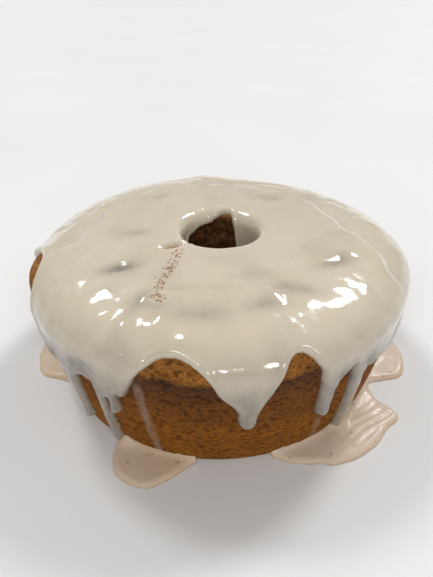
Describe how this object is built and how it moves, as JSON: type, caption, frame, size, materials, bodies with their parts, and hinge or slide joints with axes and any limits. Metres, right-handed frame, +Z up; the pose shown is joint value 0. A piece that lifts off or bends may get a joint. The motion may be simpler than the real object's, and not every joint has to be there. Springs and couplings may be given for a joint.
{
  "type": "ring cake",
  "caption": "Smooth-sided ring cake from a tube pan, under poured sugar glaze that runs down its sides in drips and pools round its foot.",
  "frame": {"origin": "centre of the flat base that the cake stands on", "axes": "+Z up through the hole, -Y towards the front that the picture shows, +X to the viewer's right"},
  "size_m": [0.2486, 0.2387, 0.0865],
  "materials": {
    "crust": "browned, finely pored cake crust",
    "glaze": "wet, glossy sugar glaze",
    "glaze_pool": "thin, half-set sugar glaze"
  },
  "bodies": {
    "root": {"cake": "crust", "glaze": "glaze", "glaze_pool_front": "glaze_pool", "glaze_pool_right": "glaze_pool", "glaze_pool_left": "glaze_pool", "glaze_pool_back": "glaze_pool"}
  },
  "joints": []
}
